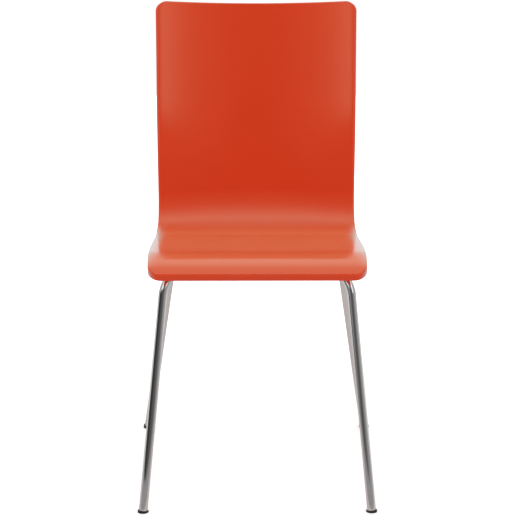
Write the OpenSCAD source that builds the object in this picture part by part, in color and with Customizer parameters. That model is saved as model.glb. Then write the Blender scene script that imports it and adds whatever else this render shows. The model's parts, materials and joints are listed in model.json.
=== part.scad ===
// Stacking chair: a one-piece bent-plywood seat and back on four splayed tube legs.
// Millimetres, +Z up, +Y towards the back, X from side to side.
// The origin is on the floor, under the middle of the whole chair.

/* [Shell] */
// Thickness of the plywood shell
shell_t = 18; // [10:0.5:20]
// Height of the highest line of the seat above the floor
seat_h = 469; // [420:1:500]
// Height of the top edge of the back above the floor
total_h = 882; // [800:1:950]
// Depth from the front edge of the seat to the corner line of seat and back
seat_depth = 388; // [340:1:420]
// Fall of the flat of the seat towards the back, in degrees
seat_tilt = 5; // [2:0.5:8]
// Lean of the back from upright, in degrees
back_lean = 12.5; // [8:0.5:20]
// Radius of the bend between seat and back, at the middle of the plywood
bend_r = 105; // [70:1:130]
// Radius of the roll at the front of the seat, at the middle of the plywood
roll_r = 115; // [70:1:160]
// Downward slope of the plywood at its front edge, in degrees
lip_angle = 36; // [15:1:42]
// Width of the front edge of the seat
front_w = 383; // [340:1:430]
// Width of the widest part of the seat
seat_w = 393; // [380:1:440]
// Width of the narrowest part, at the bend
waist_w = 387; // [350:1:410]
// Width of the top of the back
top_w = 392; // [350:1:430]
// Corner radius at the front of the seat
front_corner_r = 23; // [15:1:60]
// Corner radius at the top of the back
top_corner_r = 19; // [12:1:60]
// How far the middle of the back is dished behind its two side edges
back_dish = 33; // [0:1:40]
// Height above the bend over which the dish grows to its full depth
dish_rise = 180; // [100:5:250]
// Rounding of the edges of the plywood
edge_r = 3; // [1.5:0.25:4.5]

/* [Legs] */
// Outer diameter of the leg tube
tube_d = 16; // [14:0.5:20]
// Wall thickness of the leg tube
tube_wall = 1.5; // [1:0.25:2.5]
// Radius of the elbow between leg and arm, at the middle of the tube
elbow_r = 50; // [32:1:60]
// Radius of the middle bend of each tube, at the middle of the tube
apex_r = 40; // [30:1:60]
// Distance between the two front feet, at the floor
front_track = 414; // [380:1:440]
// Distance between the two rear feet, at the floor
rear_track = 454; // [400:1:480]
// Distance from the front feet to the rear feet, at the floor
wheelbase = 459; // [420:1:480]
// Distance between the two front elbows, where leg and arm would cross
front_knee_w = 328; // [290:1:350]
// Distance between the two rear elbows, where leg and arm would cross
rear_knee_w = 321; // [290:1:350]
// Distance from the middle of the frame forward to the front elbows
front_knee_run = 135; // [110:1:150]
// Distance from the middle of the frame back to the rear elbows
rear_knee_run = 121; // [100:1:135]
// Distance from the front edge of the seat back to the middle of the frame
frame_setback = 198; // [185:1:210]
// Distance from the front edge of the seat back to the front feet
foot_setback = 12; // [-10:1:20]

/* [Mounting plate] */
// Width of the plate under the seat
plate_w = 140; // [125:1:170]
// Depth of the plate under the seat
plate_d = 124; // [115:1:150]
// Thickness of the plate
plate_t = 4; // [2.5:0.5:5]
// Corner radius of the plate
plate_corner_r = 12; // [4:1:25]
// Thickness of the fibre gasket between plate and shell
gasket_t = 2; // [1:0.5:3]
// Distance between the left and the right bolt
bolt_span_x = 108; // [96:1:115]
// Distance between the front and the rear bolt
bolt_span_y = 92; // [84:1:98]
// Length of each weld bead
weld_len = 30; // [15:1:40]
// Radius of each weld bead
weld_r = 1.5; // [1:0.25:2]

/* [Fasteners] */
// Diameter of the bolt thread
bolt_d = 6; // [5:0.5:6.5]
// Diameter of the bolt head
head_d = 11; // [10:0.5:12]
// Height of the bolt head
head_h = 3.3; // [2.5:0.1:4.5]
// Width across the flats of the socket in the bolt head
socket_af = 4; // [3:0.5:5]
// Depth of the socket in the bolt head
socket_depth = 2; // [1:0.1:2.2]
// Outer diameter of the washer
washer_d = 14; // [12.5:0.5:16]
// Thickness of the washer
washer_t = 1.2; // [0.8:0.1:2]
// Outer diameter of the threaded insert in the shell
insert_d = 10; // [9:0.25:11]
// Length of the threaded insert
insert_len = 9; // [6:0.5:9.5]
// Room on the radius between the insert and its hole
insert_gap = 0.05; // [0.02:0.01:0.2]
// Room on the radius between a bolt and the hole it passes through
bolt_gap = 0.25; // [0.1:0.05:0.5]

/* [Pads and feet] */
// Length of a seat pad along its arm
pad_len = 36; // [24:1:44]
// Width of a seat pad across its arm
pad_w = 21; // [20.5:0.5:26]
// Distance from the elbow to the middle of the seat pad, along the arm
pad_inset = 64; // [56:1:70]
// Room on the radius between a seat pad and the tube
pad_gap = 0.05; // [0.02:0.01:0.2]
// Diameter of a foot
foot_d = 20; // [18:0.5:24]
// Height of a foot on its lower side, under the end of its tube
foot_lip = 2; // [1.5:0.25:8]
// Length of the stem of a foot inside its tube
stem_len = 24; // [12:1:40]
// Room on the radius between the stem and the inside of the tube
stem_gap = 0.1; // [0.05:0.05:0.4]

/* [Hidden] */

$fn = 72;
LACQUER = [0.80, 0.25, 0.14];
CHROME = [0.75, 0.76, 0.77];
BLACK = [0.09, 0.09, 0.09];
ZINC = [0.62, 0.63, 0.60];

// Room on the radius between the thread of a bolt and its insert
thread_gap = 0.05;
// Distance from the tip of a bolt to the end of its insert
tip_room = 1;
// Length by which a cutter runs past the face that it opens
over = 1;

// ---- Side profile of the shell, at the middle of the plywood ----
// A heading is the direction of travel from the front edge to the top edge,
// in degrees up from +Y.
half_t = shell_t / 2;
seat_heading = -seat_tilt;
back_heading = 90 - back_lean;
roll_turn = lip_angle + seat_tilt;
bend_turn = back_heading - seat_heading;
bend_tangent = bend_r * tan(bend_turn / 2);
lip_drop = roll_r * (1 - cos(lip_angle));
lip_run = roll_r * sin(lip_angle);
tilt_run = roll_r * sin(seat_tilt);
tilt_drop = roll_r * (1 - cos(seat_tilt));

// The front edge of the plywood is at y = 0 here, and the crest is as high as
// seat_h on the upper face.
crest = [lip_run, seat_h - half_t];
lip_end = [0, crest[1] - lip_drop];
seat_start = crest + [tilt_run, -tilt_drop];
seat_len = (seat_depth - seat_start[0]) / cos(seat_tilt) - bend_tangent;
bend_corner = seat_start + (seat_len + bend_tangent) * dir2(seat_heading);
back_start = bend_corner + bend_tangent * dir2(back_heading);
back_len = (total_h - half_t * sin(back_lean) - back_start[1]) / cos(back_lean);

roll_len = roll_r * roll_turn * PI / 180;
bend_len = bend_r * bend_turn * PI / 180;
s_seat = roll_len;
s_bend = s_seat + seat_len;
s_back = s_bend + bend_len;
s_top = s_back + back_len;

function dir2(a) = [cos(a), sin(a)];
function ease(t) = let (c = max(0, min(1, t))) c * c * (3 - 2 * c);
function mix(a, b, t) = a + (b - a) * t;

// Heading of the profile at distance s along it
function heading(s) =
    s < s_seat ? lip_angle - roll_turn * s / roll_len :
    s < s_bend ? seat_heading :
    s < s_back ? seat_heading + bend_turn * (s - s_bend) / bend_len :
    back_heading;

// Point [y, z] of the profile at distance s along it
function profile(s) =
    s < s_seat ? crest + roll_r * [-sin(heading(s)), cos(heading(s)) - 1] :
    s < s_bend ? seat_start + (s - s_seat) * dir2(seat_heading) :
    s < s_back ? back_start + bend_r * (dir2(back_heading + 90) - dir2(heading(s) + 90)) :
    back_start + (s - s_back) * dir2(back_heading);

// ---- Outline of the shell, as half its width along the profile ----
// Where the seat is widest, as a share of its flat, and where the waist is, as a
// share of the bend
widest_share = 0.6;
waist_share = 0.45;
// How sharply each side curve leaves the widest part and the waist
front_curve = 2;
waist_curve = 3;
top_curve = 2.2;
s_widest = mix(s_seat, s_bend, widest_share);
s_waist = mix(s_bend, s_back, waist_share);
function side_curve(w0, w1, s0, s1, s, power) =
    mix(w0, w1, pow((s - s0) / (s1 - s0), power)) / 2;
function half_width(s) =
    s < s_widest ? side_curve(seat_w, front_w, s_widest, 0, s, front_curve) :
    s < s_waist ? side_curve(seat_w, waist_w, s_widest, s_waist, s, waist_curve) :
    side_curve(waist_w, top_w, s_waist, s_top, s, top_curve);

// Depth of the dish at distance s and x from the middle
function dish(s, x) =
    back_dish * ease((s - s_bend) / (bend_len + dish_rise)) * pow(2 * x / top_w, 2);

function mid_point(s, x) = let (
    p = profile(s) + dish(s, x) * dir2(heading(s) + 90)
) [x, p[0], p[1]];
function unit(v) = v / norm(v);
// Half the distance over which the slope of the plywood is measured
probe = 0.5;
function mid_normal(s, x) = unit(cross(
    mid_point(s, x + probe) - mid_point(s, x - probe),
    mid_point(s + probe, x) - mid_point(s - probe, x)
));
function shell_point(s, x, lift) = mid_point(s, x) + lift * mid_normal(s, x);

// ---- Rows and columns of the shell's net ----
corner_rows = 7;
seat_rows = 12;
bend_rows = 14;
back_rows = 16;
columns = 18;
rim_rows = 4;

// A row is [kind, place]. Kind 0 is round the front corners and kind 2 round the
// top ones, with the place in degrees. Kind 1 is between them, with the place as
// the distance from the front edge.
ROWS = concat(
    [for (i = [0 : corner_rows - 1]) [0, 90 * i / corner_rows]],
    [for (i = [0 : seat_rows - 1]) [1, mix(front_corner_r, s_bend, i / seat_rows)]],
    [for (i = [0 : bend_rows - 1]) [1, mix(s_bend, s_back, i / bend_rows)]],
    [for (i = [0 : back_rows]) [1, mix(s_back, s_top - top_corner_r, i / back_rows)]],
    [for (i = [1 : corner_rows]) [2, 90 * i / corner_rows]]
);
row_count = len(ROWS);

// Distance along the profile of a row, where the outline is drawn in by inset
function row_s(row, inset) =
    row[0] == 0 ? front_corner_r - (front_corner_r - inset) * cos(row[1]) :
    row[0] == 1 ? row[1] :
    s_top - top_corner_r + (top_corner_r - inset) * sin(row[1]);

// Half the width of a row, where the outline is drawn in by inset
function row_half(row, inset) = let (s = row_s(row, inset))
    row[0] == 0 ? half_width(s) - front_corner_r
                  + (front_corner_r - inset) * sin(row[1]) :
    row[0] == 1 ? half_width(s) - inset :
    half_width(s) - top_corner_r + (top_corner_r - inset) * cos(row[1]);

function net_point(i, j, inset, lift) = let (row = ROWS[i])
    shell_point(row_s(row, inset),
                row_half(row, inset) * (2 * j / columns - 1), lift);

// The rim runs once round the net: front edge, right side, top edge, left side.
RIM = concat(
    [for (j = [0 : columns - 1]) [0, j]],
    [for (i = [0 : row_count - 2]) [i, columns]],
    [for (j = [columns : -1 : 1]) [row_count - 1, j]],
    [for (i = [row_count - 1 : -1 : 1]) [i, 0]]
);
rim_len = len(RIM);

// Rings of the rounded edge between the upper and the lower face: [inset, lift]
EDGE = concat(
    [for (k = [1 : rim_rows]) edge_ring(90 * k / rim_rows, half_t - edge_r, 1)],
    [for (k = [rim_rows : -1 : 1]) edge_ring(90 * k / rim_rows, half_t - edge_r, -1)]
);
function edge_ring(a, flat, side) =
    [edge_r * (1 - sin(a)), side * (flat + edge_r * cos(a))];

net_size = row_count * (columns + 1);
function net_index(i, j) = i * (columns + 1) + j;
function rim_index(k, ring) = 2 * net_size + ring * rim_len + k % rim_len;
function top_rim(k) = net_index(RIM[k % rim_len][0], RIM[k % rim_len][1]);

shell_points = concat(
    [for (i = [0 : row_count - 1], j = [0 : columns]) net_point(i, j, edge_r, half_t)],
    [for (i = [0 : row_count - 1], j = [0 : columns]) net_point(i, j, edge_r, -half_t)],
    [for (e = EDGE, r = RIM) net_point(r[0], r[1], e[0], e[1])]
);
last_ring = len(EDGE) - 1;
// Each four-sided cell is cut into two triangles.
function cell(a, b, c, d) = [[a, b, c], [a, c, d]];
shell_faces = [
    for (i = [0 : row_count - 2], j = [0 : columns - 1]) let (
        a = net_index(i, j), b = net_index(i, j + 1),
        c = net_index(i + 1, j + 1), d = net_index(i + 1, j)
    ) each concat(cell(d, c, b, a), cell(a + net_size, b + net_size,
                                         c + net_size, d + net_size)),
    for (k = [0 : rim_len - 1]) each cell(
        top_rim(k), top_rim(k + 1), rim_index(k + 1, 0), rim_index(k, 0)),
    for (ring = [0 : last_ring - 1], k = [0 : rim_len - 1]) each cell(
        rim_index(k, ring), rim_index(k + 1, ring),
        rim_index(k + 1, ring + 1), rim_index(k, ring + 1)),
    for (k = [0 : rim_len - 1]) each cell(
        rim_index(k, last_ring), rim_index(k + 1, last_ring),
        top_rim(k + 1) + net_size, top_rim(k) + net_size)
];

// ---- Frame of the parts bolted to the seat ----
// Its origin is on the lower face of the shell, over the middle of the frame.
// x is the same, y runs back along the flat of the seat, z is square to it.
seat_up = dir2(seat_heading + 90);
frame_on_shell = seat_start
    + (frame_setback - seat_start[0]) / cos(seat_tilt) * dir2(seat_heading)
    - half_t * seat_up;
plate_bottom = -gasket_t - plate_t;
arm_z = plate_bottom - tube_d / 2;

module on_seat()
    translate([0, frame_on_shell[0], frame_on_shell[1]]) rotate([-seat_tilt, 0, 0])
        children();
function from_seat(p) = let (
    q = frame_on_shell + p[1] * dir2(seat_heading) + p[2] * seat_up
) [p[0], q[0], q[1]];

// The two tubes lie back to back and touch in the middle of the frame. An arm
// is the tangent from its elbow to the middle bend of its tube.
bend_mid = tube_d / 2 + apex_r;
function arm_angle(knee) = let (
    reach = [knee[0], abs(knee[1]) - bend_mid]
) atan2(reach[1], reach[0]) + asin(apex_r / norm(reach));
// Where the two arms of a tube would cross, without their bend
function arm_meet(knee) =
    knee[1] - sign(knee[1]) * knee[0] * tan(arm_angle(knee));

front_knee = [front_knee_w / 2, -front_knee_run];
rear_knee = [rear_knee_w / 2, rear_knee_run];
front_foot = [front_track / 2, foot_setback, 0];
rear_foot = [rear_track / 2, foot_setback + wheelbase, 0];

function knee_point(knee) = from_seat([knee[0], knee[1], arm_z]);
function flip(p, side) = [side * p[0], p[1], p[2]];
function leg_dir(foot, knee) = unit(knee_point(knee) - foot);
// The more a leg leans, the higher its foot has to be in the middle.
function foot_h(foot, knee) =
    foot_lip + foot_d / 2 * tan(acos(leg_dir(foot, knee)[2]));

// Directions at the right elbow: along the arm, square to it on the side that
// its middle bend turns to, and square to both.
function arm_dir(knee) = unit(knee_point(knee) - from_seat([0, arm_meet(knee), arm_z]));
function arm_side(knee) = let (
    a = arm_dir(knee),
    back = from_seat([0, sign(knee[1]), 0]) - from_seat([0, 0, 0])
) unit(back - (back * a) * a);
// How far the elbow is rolled about its arm, and how far it turns
function elbow_roll(foot, knee) = let (
    down = -leg_dir(foot, knee), side = arm_side(knee)
) atan2(down * cross(arm_dir(knee), side), down * side);
function elbow_turn(foot, knee) = acos(-leg_dir(foot, knee) * arm_dir(knee));
function elbow_trim(foot, knee) = elbow_r * tan(elbow_turn(foot, knee) / 2);
function arm_len(foot, knee) =
    norm([knee[0], knee[1] - arm_meet(knee)])
    - apex_r * tan(arm_angle(knee)) - elbow_trim(foot, knee);
function leg_len(foot, knee) =
    norm(knee_point(knee) - foot) - elbow_trim(foot, knee)
    - foot_h(foot, knee);

// ---- Place of the whole chair over the origin ----
function foot_reach(d) = foot_d / 2 * norm([d[1], d[2]]) / d[2];
edge_flat = half_t - edge_r;
front_reach = min(
    profile(edge_r)[0] - edge_flat * sin(heading(edge_r)) - edge_r,
    front_foot[1] - foot_reach(leg_dir(front_foot, front_knee))
);
rear_reach = max(
    profile(s_top - edge_r)[0] + edge_flat * cos(back_lean) + edge_r,
    rear_foot[1] + foot_reach(leg_dir(rear_foot, rear_knee))
);
module in_place() translate([0, -(front_reach + rear_reach) / 2, 0]) children();

// ---- Shared shapes ----
module along(from, dir)
    translate(from) rotate([0, acos(dir[2]), atan2(dir[1], dir[0])]) children();

// A bar is drawn from its start along +Z. Its bends have radius r and turn
// towards +X, and what follows a run or a bend is drawn at its end. A bend is a
// hair thicker than a run, and a run sinks a little into each bend that it
// meets, so that they join in a clean circle.
bend_swell = 0.1;
run_sink = 0.5;
module run(length, d, sink = run_sink) {
    translate([0, 0, -run_sink]) cylinder(h = run_sink + length + sink, d = d);
    translate([0, 0, length]) children();
}
module bend(r, from, to, d)
    translate([r, 0, 0]) rotate([90, 0, 180]) rotate([0, 0, from])
        rotate_extrude(angle = to - from)
        translate([r, 0]) circle(d = d + bend_swell);
module after_bend(r, angle)
    translate([r, 0, 0]) rotate([90, 0, 180])
        rotate([0, 0, angle]) translate([r, 0, 0]) rotate([90, 0, 180])
        children();

// Solid bar of diameter d along one tube, from its middle bend both ways. Each
// end runs on by extra.
module leg_bar(foot, knee, d, extra = 0) {
    fore = sign(knee[1]);
    half_turn = arm_angle(knee);
    turn = elbow_turn(foot, knee);
    on_seat() translate([0, fore * tube_d / 2, arm_z])
    rotate([90 * fore, 0, 90 * fore]) {
        bend(apex_r, -half_turn, half_turn, d);
        for (side = [0, 1]) mirror([0, 0, side]) after_bend(apex_r, half_turn)
            run(arm_len(foot, knee), d)
            rotate([0, 0, elbow_roll(foot, knee)]) {
                bend(elbow_r, 0, turn, d);
                after_bend(elbow_r, turn) run(leg_len(foot, knee), d, extra);
            }
    }
}

module rounded_plate(w, d, r, t) linear_extrude(t) {
    square([w - 2 * r, d], center = true);
    square([w, d - 2 * r], center = true);
    for (x = [-1, 1], y = [-1, 1]) translate([x * (w / 2 - r), y * (d / 2 - r)])
        circle(r);
}

// Cutter for a round hole through a piece of thickness t that stands on z = 0
module through_hole(t, d) translate([0, 0, -over]) cylinder(h = t + 2 * over, d = d);

module at_bolts() for (p = [
    [bolt_span_x / 2, 0], [-bolt_span_x / 2, 0],
    [0, bolt_span_y / 2], [0, -bolt_span_y / 2]
]) translate(p) children();

// ---- Sub-parts ----
// The seat and the back: one sheet of plywood, bent and lacquered all over, with
// four blind holes in its lower face for the inserts.
module seat_shell() color(LACQUER) in_place() difference() {
    polyhedron(shell_points, shell_faces);
    on_seat() at_bolts() translate([0, 0, -insert_len])
        cylinder(h = 2 * insert_len + insert_gap, d = insert_d + 2 * insert_gap);
}

// One bent tube makes a pair of legs and the two arms that join them.
module leg_tube(foot, knee) color(CHROME) in_place() difference() {
    leg_bar(foot, knee, tube_d);
    leg_bar(foot, knee, tube_d - 2 * tube_wall, over);
}
module front_leg_tube() leg_tube(front_foot, front_knee);
module rear_leg_tube() leg_tube(rear_foot, rear_knee);

// The steel plate lies on the arms of both tubes.
module mounting_plate() color(CHROME) in_place() on_seat()
    translate([0, 0, plate_bottom]) difference() {
        rounded_plate(plate_w, plate_d, plate_corner_r, plate_t);
        at_bolts() through_hole(plate_t, bolt_d + 2 * bolt_gap);
    }

module plate_gasket() color(BLACK) in_place() on_seat()
    translate([0, 0, -gasket_t]) difference() {
        rounded_plate(plate_w, plate_d, plate_corner_r, gasket_t);
        at_bolts() through_hole(gasket_t, bolt_d + 2 * bolt_gap);
    }

// A bead lies in each groove between an arm and the plate.
module frame_welds() color(CHROME) in_place() on_seat()
    for (knee = [front_knee, rear_knee], side = [-1, 1], edge = [-1, 1]) {
        meet = [0, arm_meet(knee)];
        arm = unit([side * knee[0], knee[1]] - meet);
        first = apex_r * tan(arm_angle(knee));
        groove = edge * 2 * sqrt(weld_r * tube_d / 2);
        start = meet + first * arm + groove * [-arm[1], arm[0]];
        along([start[0], start[1], plate_bottom - weld_r], [arm[0], arm[1], 0])
            cylinder(h = weld_len, r = weld_r);
    }

module threaded_inserts() color(ZINC) in_place() on_seat() at_bolts() difference() {
    cylinder(h = insert_len, d = insert_d);
    through_hole(insert_len, bolt_d + 2 * thread_gap);
}

module washers() color(ZINC) in_place() on_seat() at_bolts()
    translate([0, 0, plate_bottom - washer_t]) difference() {
        cylinder(h = washer_t, d = washer_d);
        through_hole(washer_t, bolt_d + 2 * bolt_gap);
    }

// The tip of each bolt stays short of the end of its insert.
module shell_bolts() color(ZINC) in_place() on_seat() at_bolts()
    translate([0, 0, plate_bottom - washer_t]) {
        cylinder(h = washer_t + plate_t + gasket_t + insert_len - tip_room, d = bolt_d);
        translate([0, 0, -head_h]) difference() {
            cylinder(h = head_h, d = head_d);
            translate([0, 0, -over])
                cylinder(h = socket_depth + over, d = socket_af / cos(30), $fn = 6);
        }
    }

// A saddle on an arm carries the shell and keeps chairs apart in a stack.
module seat_pad(knee, side) {
    foot_of_pad = [side * knee[0], knee[1]];
    arm = unit([0, arm_meet(knee)] - foot_of_pad);
    color(BLACK) in_place() on_seat()
        translate([foot_of_pad[0], foot_of_pad[1], arm_z])
        rotate([0, 0, atan2(arm[1], arm[0])])
        difference() {
            translate([pad_inset - pad_len / 2, -pad_w / 2, 0])
                cube([pad_len, pad_w, -arm_z]);
            translate([pad_inset - pad_len, 0, 0]) rotate([0, 90, 0])
                cylinder(h = 2 * pad_len, d = tube_d + 2 * pad_gap);
        }
}
module front_left_pad() seat_pad(front_knee, -1);
module front_right_pad() seat_pad(front_knee, 1);
module rear_left_pad() seat_pad(rear_knee, -1);
module rear_right_pad() seat_pad(rear_knee, 1);

// A foot closes the end of its tube. It is cut flat where it stands. Its cap is
// turned a quarter, so that the seam of the round face is clear of that cut.
module leg_foot(foot, knee, side) {
    dir = flip(leg_dir(foot, knee), side);
    spot = flip(foot, side);
    stem_d = tube_d - 2 * tube_wall - 2 * stem_gap;
    cap_h = foot_h(foot, knee);
    color(BLACK) in_place() difference() {
        along(spot, dir) {
            translate([0, 0, -foot_d / 2]) rotate([0, 0, 90])
                cylinder(h = foot_d / 2 + cap_h, d = foot_d);
            cylinder(h = cap_h + stem_len, d = stem_d);
        }
        translate([spot[0], spot[1], -foot_d]) cylinder(h = foot_d, r = foot_d);
    }
}
module front_left_foot() leg_foot(front_foot, front_knee, -1);
module front_right_foot() leg_foot(front_foot, front_knee, 1);
module rear_left_foot() leg_foot(rear_foot, rear_knee, -1);
module rear_right_foot() leg_foot(rear_foot, rear_knee, 1);

seat_shell();
front_leg_tube();
rear_leg_tube();
mounting_plate();
plate_gasket();
frame_welds();
threaded_inserts();
shell_bolts();
washers();
front_left_pad();
front_right_pad();
rear_left_pad();
rear_right_pad();
front_left_foot();
front_right_foot();
rear_left_foot();
rear_right_foot();
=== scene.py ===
# %% [markdown]
# # A stacking chair with a bent plywood shell
#
# This lesson dresses a chair whose construction is already known. The packed
# model gives every piece its place and its size, and we give each piece its
# smooth form and its finish. The chair is one sheet of bent plywood, lacquered
# orange, on two bent and chromed tubes. Blender works in metres here, with +Z up
# and +Y towards the back of the chair.

# %% Load the frame
import json
import math

import bmesh
import bpy
from mathutils import Matrix, Vector


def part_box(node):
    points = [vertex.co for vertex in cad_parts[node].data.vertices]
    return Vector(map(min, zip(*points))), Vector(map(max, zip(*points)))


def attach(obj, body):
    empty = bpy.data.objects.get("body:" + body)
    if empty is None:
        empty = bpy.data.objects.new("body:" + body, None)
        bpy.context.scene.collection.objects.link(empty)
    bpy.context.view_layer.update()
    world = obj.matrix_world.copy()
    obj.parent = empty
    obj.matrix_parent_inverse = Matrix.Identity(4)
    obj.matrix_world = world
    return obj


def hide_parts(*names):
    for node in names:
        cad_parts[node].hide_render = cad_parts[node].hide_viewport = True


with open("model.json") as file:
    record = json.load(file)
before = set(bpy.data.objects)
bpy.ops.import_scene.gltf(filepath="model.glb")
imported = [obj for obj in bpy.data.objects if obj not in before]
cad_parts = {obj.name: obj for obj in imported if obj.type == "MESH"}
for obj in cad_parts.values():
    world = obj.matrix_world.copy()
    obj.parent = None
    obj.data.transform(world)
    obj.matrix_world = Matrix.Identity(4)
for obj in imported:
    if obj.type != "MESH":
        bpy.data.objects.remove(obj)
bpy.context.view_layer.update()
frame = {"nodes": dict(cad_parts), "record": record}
MM = 0.001
QUARTER = math.radians(90)

# %% [markdown]
# ## The camera
#
# A chair in a catalogue is taken with a long lens from a few metres away, a
# little above the seat. A long lens keeps the legs from fanning out. We stand
# the camera in front of the chair, tip it down, and turn it very slightly, since
# no chair is ever set down perfectly square.

# %% Camera
CAMERA_HEIGHT = 1.067
CAMERA_DISTANCE = 2.809
CAMERA_ASIDE = -0.0147
LOOK_DOWN = math.radians(13.0)
LOOK_ASIDE = math.radians(-0.33)
LENS = 106.1
SENSOR = 36.0

camera_data = bpy.data.cameras.new("camera")
camera_data.lens = LENS
camera_data.sensor_width = SENSOR
camera = bpy.data.objects.new("camera", camera_data)
camera.location = (CAMERA_ASIDE, -CAMERA_DISTANCE, CAMERA_HEIGHT)
camera.rotation_euler = (QUARTER - LOOK_DOWN, 0, LOOK_ASIDE)
bpy.context.scene.collection.objects.link(camera)
bpy.context.scene.camera = camera
print("the camera looks down by", round(math.degrees(LOOK_DOWN)), "degrees")

# %% [markdown]
# ## Helpers for meshes
#
# Most pieces here are rows or rings of points: a sheet, a tube or a turned part.
# It is worth writing one function that turns points and faces into an object
# that rides on the chair. It also joins points that lie on one another and turns
# all faces outward, since a closed mesh is what a solid piece needs.

# %% Mesh helpers
SAME_PLACE = 0.001 * MM


def close_mesh(mesh):
    """Joins points that lie on one another and turns every face outward."""
    work = bmesh.new()
    work.from_mesh(mesh)
    bmesh.ops.remove_doubles(work, verts=work.verts, dist=SAME_PLACE)
    bmesh.ops.recalc_face_normals(work, faces=work.faces)
    work.to_mesh(mesh)
    work.free()


def place_piece(name, mesh, node_names, sharp_over=None):
    """Closes, shades and links a mesh, puts it under the chair's root and hides the CAD nodes it
    stands for.

    Edges that turn by more than sharp_over degrees aren't smoothed.
    """
    close_mesh(mesh)
    mesh.shade_smooth()
    if sharp_over:
        mesh.set_sharp_from_angle(angle=math.radians(sharp_over))
    piece = bpy.data.objects.new(name, mesh)
    bpy.context.scene.collection.objects.link(piece)
    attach(piece, "root")
    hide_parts(*node_names)
    print(name, "has", len(mesh.vertices), "points")
    return piece


def new_piece(name, shape, node_names, sharp_over=None):
    """Makes an object from (points, faces) and lets it stand for CAD nodes."""
    points, faces = shape
    mesh = bpy.data.meshes.new(name)
    mesh.from_pydata([tuple(p) for p in points], [], faces)
    mesh.validate()
    return place_piece(name, mesh, node_names, sharp_over)


# %% [markdown]
# ## The side profile of the shell
#
# A shell like this is pressed from veneers between two moulds, so it is a single
# sheet whose side view tells almost everything: a roll at the front, a flat seat
# that falls a little to the back, one bend, and a straight back that leans. We
# follow that line by the distance s travelled along it. At every s the line has
# a heading, and the place follows from straight runs and arcs.

# %% Driving sizes of the shell
SHELL_T = 18 * MM
SEAT_H = 469 * MM
TOTAL_H = 882 * MM
SEAT_DEPTH = 388 * MM
SEAT_TILT = math.radians(5)
BACK_LEAN = math.radians(12.5)
BEND_R = 105 * MM
ROLL_R = 115 * MM
LIP_ANGLE = math.radians(36)

HALF_T = SHELL_T / 2
BACK_HEADING = QUARTER - BACK_LEAN
BEND_TURN = BACK_HEADING + SEAT_TILT
print("the bend turns the sheet by", round(math.degrees(BEND_TURN), 1), "degrees")


# %% Where straight runs and arcs meet
def direction(heading):
    """Unit vector in the Y-Z plane, as a pair, that rises by an angle."""
    return Vector((math.cos(heading), math.sin(heading)))


CREST = Vector((ROLL_R * math.sin(LIP_ANGLE), SEAT_H - HALF_T))
SEAT_START = CREST + ROLL_R * Vector((math.sin(SEAT_TILT), math.cos(SEAT_TILT) - 1))
BEND_TANGENT = BEND_R * math.tan(BEND_TURN / 2)
SEAT_LEN = (SEAT_DEPTH - SEAT_START.x) / math.cos(SEAT_TILT) - BEND_TANGENT
BEND_CORNER = SEAT_START + (SEAT_LEN + BEND_TANGENT) * direction(-SEAT_TILT)
BACK_START = BEND_CORNER + BEND_TANGENT * direction(BACK_HEADING)
BACK_RISE = TOTAL_H - HALF_T * math.sin(BACK_LEAN) - BACK_START.y
S_SEAT = ROLL_R * (LIP_ANGLE + SEAT_TILT)
S_BEND = S_SEAT + SEAT_LEN
S_BACK = S_BEND + BEND_R * BEND_TURN
S_TOP = S_BACK + BACK_RISE / math.cos(BACK_LEAN)
print("the sheet is", round(S_TOP, 3), "m long before it is bent")


# %% Side profile
def heading_at(s):
    if s < S_SEAT:
        return LIP_ANGLE - s / ROLL_R
    if s < S_BEND:
        return -SEAT_TILT
    if s < S_BACK:
        return (s - S_BEND) / BEND_R - SEAT_TILT
    return BACK_HEADING


def profile_at(s):
    """Place of the middle of the sheet, as (y, z) from the front edge."""
    h = heading_at(s)
    if s < S_SEAT:
        return CREST + ROLL_R * Vector((-math.sin(h), math.cos(h) - 1))
    if s < S_BEND:
        return SEAT_START + (s - S_SEAT) * direction(h)
    if s < S_BACK:
        turned = direction(BACK_HEADING + QUARTER) - direction(h + QUARTER)
        return BACK_START + BEND_R * turned
    return BACK_START + (s - S_BACK) * direction(h)


print("the top of the back is", round(profile_at(S_TOP).x, 3), "m behind the front edge")

# %% [markdown]
# ## The outline and the dish
#
# Seen from the front, the sheet is a little wider at the seat, draws in at the
# bend and widens again to the top. The back is also dished: its sides come
# forward to hold the sitter. The dish grows slowly above the bend, so we ease it
# in along the sheet and let it grow with the square of the distance from the
# middle.

# %% Outline of the shell
FRONT_W = 383 * MM
SEAT_W = 393 * MM
WAIST_W = 387 * MM
TOP_W = 392 * MM
SEAT_CURVE = 2
WAIST_CURVE = 3
TOP_CURVE = 2.2


def mix(a, b, share):
    return a + (b - a) * share


S_WIDEST = mix(S_SEAT, S_BEND, 0.6)
S_WAIST = mix(S_BEND, S_BACK, 0.45)


def half_width_at(s):
    """Half the sheet's width, by one smooth curve on each side of the waist."""
    if s < S_WIDEST:
        return mix(SEAT_W, FRONT_W, (1 - s / S_WIDEST) ** SEAT_CURVE) / 2
    if s < S_WAIST:
        share = (s - S_WIDEST) / (S_WAIST - S_WIDEST)
        return mix(SEAT_W, WAIST_W, share ** WAIST_CURVE) / 2
    share = (s - S_WAIST) / (S_TOP - S_WAIST)
    return mix(WAIST_W, TOP_W, share ** TOP_CURVE) / 2


print("at the bend the sheet is", round(2 * half_width_at(S_BEND), 3), "m wide")

# %% Dish of the back
BACK_DISH = 33 * MM
DISH_RISE = 180 * MM
PROBE = 0.5 * MM


def ease(share):
    c = max(0.0, min(1.0, share))
    return c * c * (3 - 2 * c)


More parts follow.
